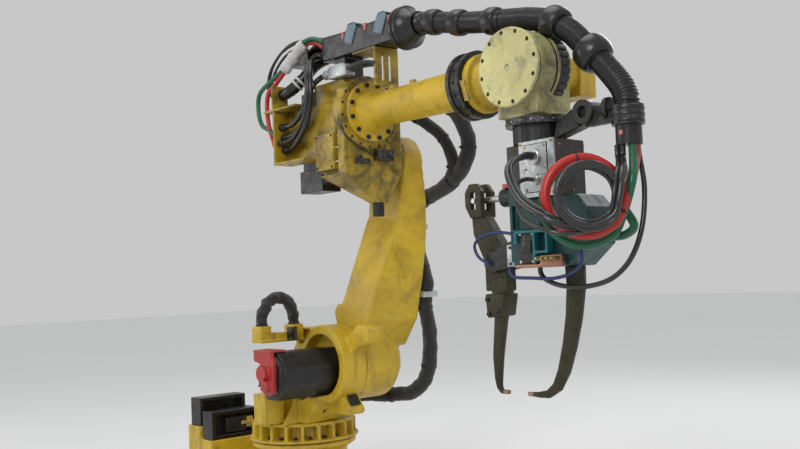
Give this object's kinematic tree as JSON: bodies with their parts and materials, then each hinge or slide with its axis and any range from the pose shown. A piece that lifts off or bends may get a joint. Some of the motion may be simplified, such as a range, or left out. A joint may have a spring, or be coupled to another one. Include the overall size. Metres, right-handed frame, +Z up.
{
  "type": "industrial robot arm",
  "caption": "Six-axis floor-mounted robot arm with a spot welding gun and a corrugated dress pack over its forearm.",
  "frame": {"origin": "on the floor, on the axis that the column swivels about, on the base's underside", "axes": "+X the way the arm reaches, +Z up, +Y to the arm's left"},
  "size_m": [2.9926, 0.9552, 2.4071],
  "materials": {
    "robot_yellow": "worn gloss paint with grime",
    "pale_yellow": "faded paint with grey stains",
    "black_paint": "satin",
    "black_rubber": "matte",
    "guard_red": "worn gloss paint",
    "zinc_plate": "dull zinc",
    "gun_teal": "dark paint",
    "cast_bronze": "tarnished cast copper alloy",
    "dark_steel": "oily",
    "red_hose": "smooth"
  },
  "bodies": {
    "base": {"base_casting": "robot_yellow", "base_cable_box": "robot_yellow", "plug_hood_front": "black_paint", "plug_hood_rear": "black_paint"},
    "column": {"turntable": "robot_yellow", "column_casting": "robot_yellow", "bump_pad": "black_rubber", "shoulder_motor": "black_paint", "motor_guard": "guard_red", "terminal_shelf": "robot_yellow", "terminal_plug": "black_paint", "terminal_sleeve": "black_rubber", "low_terminal_box": "robot_yellow", "swivel_motor": "black_paint", "shoulder_sleeve": "black_rubber"},
    "arm": {"lower_arm": "robot_yellow", "arm_clamp_low": "zinc_plate", "arm_clamp_top": "zinc_plate", "arm_sleeve": "black_rubber"},
    "elbow": {"elbow_casing": "robot_yellow", "casing_socket": "black_paint", "casing_stop": "black_rubber", "casing_side_cover": "robot_yellow", "wrist_motors": "black_paint", "elbow_motor": "black_paint", "cable_wall": "robot_yellow", "hose_shelf": "robot_yellow", "dress_trough": "black_paint", "trough_bracket": "robot_yellow", "trough_bell": "black_paint", "elbow_port": "dark_steel", "elbow_sleeve": "black_rubber", "casing_cables": "black_rubber", "shelf_hose": "black_rubber", "conduit_rear": "black_paint"},
    "forearm": {"forearm_tube": "robot_yellow", "forearm_ring": "black_paint", "wrist_fork": "robot_yellow", "conduit_middle": "black_paint"},
    "wrist": {"wrist_cover": "pale_yellow", "wrist_drum": "pale_yellow", "conduit_front": "black_paint"},
    "tool": {"tool_flange": "black_paint", "swing_bracket": "dark_steel", "conduit_clamp": "black_paint", "transformer": "zinc_plate", "connector_panel": "zinc_plate", "gun_body": "gun_teal", "gun_cylinder": "dark_steel", "lever_cheeks": "dark_steel", "gun_frame": "gun_teal", "copper_shunt": "cast_bronze", "fixed_electrode_arm": "cast_bronze", "gun_red_hose": "red_hose", "gun_grey_hose": "black_rubber"},
    "lever": {"lever_arm": "cast_bronze"},
    "rod": {"gun_rod": "dark_steel", "rod_pin": "dark_steel"}
  },
  "joints": [
    {"name": "swivel", "type": "hinge", "parent": "base", "child": "column", "pos_m": [0, 0, 0.262], "axis": [0, 0, 1], "range_deg": [-180, 180]},
    {"name": "arm_tilt", "type": "hinge", "parent": "column", "child": "arm", "pos_m": [0.312, 0, 0.67], "axis": [0, 1, 0], "range_deg": [-70.75, 65.25], "deforming": ["shoulder_sleeve"]},
    {"name": "elbow_tilt", "type": "hinge", "parent": "arm", "child": "elbow", "pos_m": [0.51251, 0, 1.72613], "axis": [0, -1, 0], "range_deg": [-45, 80], "deforming": ["elbow_sleeve"]},
    {"name": "forearm_roll", "type": "hinge", "parent": "elbow", "child": "forearm", "pos_m": [0.5144, 0, 1.95113], "axis": [1, 0, -0.0084], "range_deg": [-180, 180], "deforming": ["conduit_rear", "conduit_middle"]},
    {"name": "wrist_bend", "type": "hinge", "parent": "forearm", "child": "wrist", "pos_m": [1.79435, 0, 1.9404], "axis": [0, -1, 0], "range_deg": [-35, 165], "deforming": ["conduit_front"]},
    {"name": "flange_turn", "type": "hinge", "parent": "wrist", "child": "tool", "pos_m": [1.79435, 0, 1.7254], "axis": [0, 0, 1], "range_deg": [-120, 120]},
    {"name": "lever_swing", "type": "hinge", "parent": "tool", "child": "lever", "pos_m": [1.54335, 0, 1.1574], "axis": [0, 1, 0], "range_deg": [-10, 8]},
    {"name": "rod_slide", "type": "slide", "parent": "tool", "child": "rod", "axis": [1, 0, 0], "range_m": [-0.05, 0.04]}
  ],
  "couplings": [
    {"joint": "rod_slide", "follows": "lever_swing", "m_per_rad": 0.273}
  ]
}
